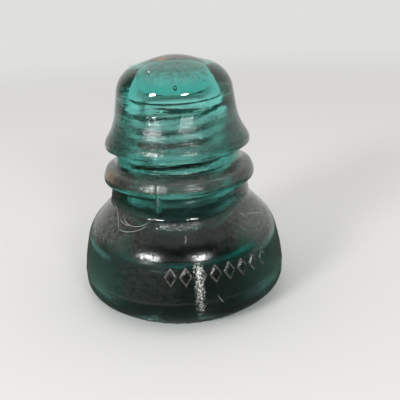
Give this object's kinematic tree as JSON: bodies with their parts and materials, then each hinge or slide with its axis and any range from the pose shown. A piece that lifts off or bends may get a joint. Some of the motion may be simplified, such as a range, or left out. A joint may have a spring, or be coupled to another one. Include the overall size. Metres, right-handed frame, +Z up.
{
  "type": "pin-type glass line insulator",
  "caption": "Pressed glass pin insulator: domed crown, side wire groove between two ridges, flared outer skirt, inner petticoat and a tapered threaded pinhole, standing on drip points.",
  "frame": {"origin": "on the axis of symmetry, at the plane that the drip points stand on", "axes": "+Z up along the pinhole towards the crown, -Y towards the front with the raised row"},
  "size_m": [0.0862, 0.0862, 0.1009],
  "materials": {
    "aqua_glass": "gloss"
  },
  "bodies": {
    "root": {"glass_body": "aqua_glass"}
  },
  "joints": []
}
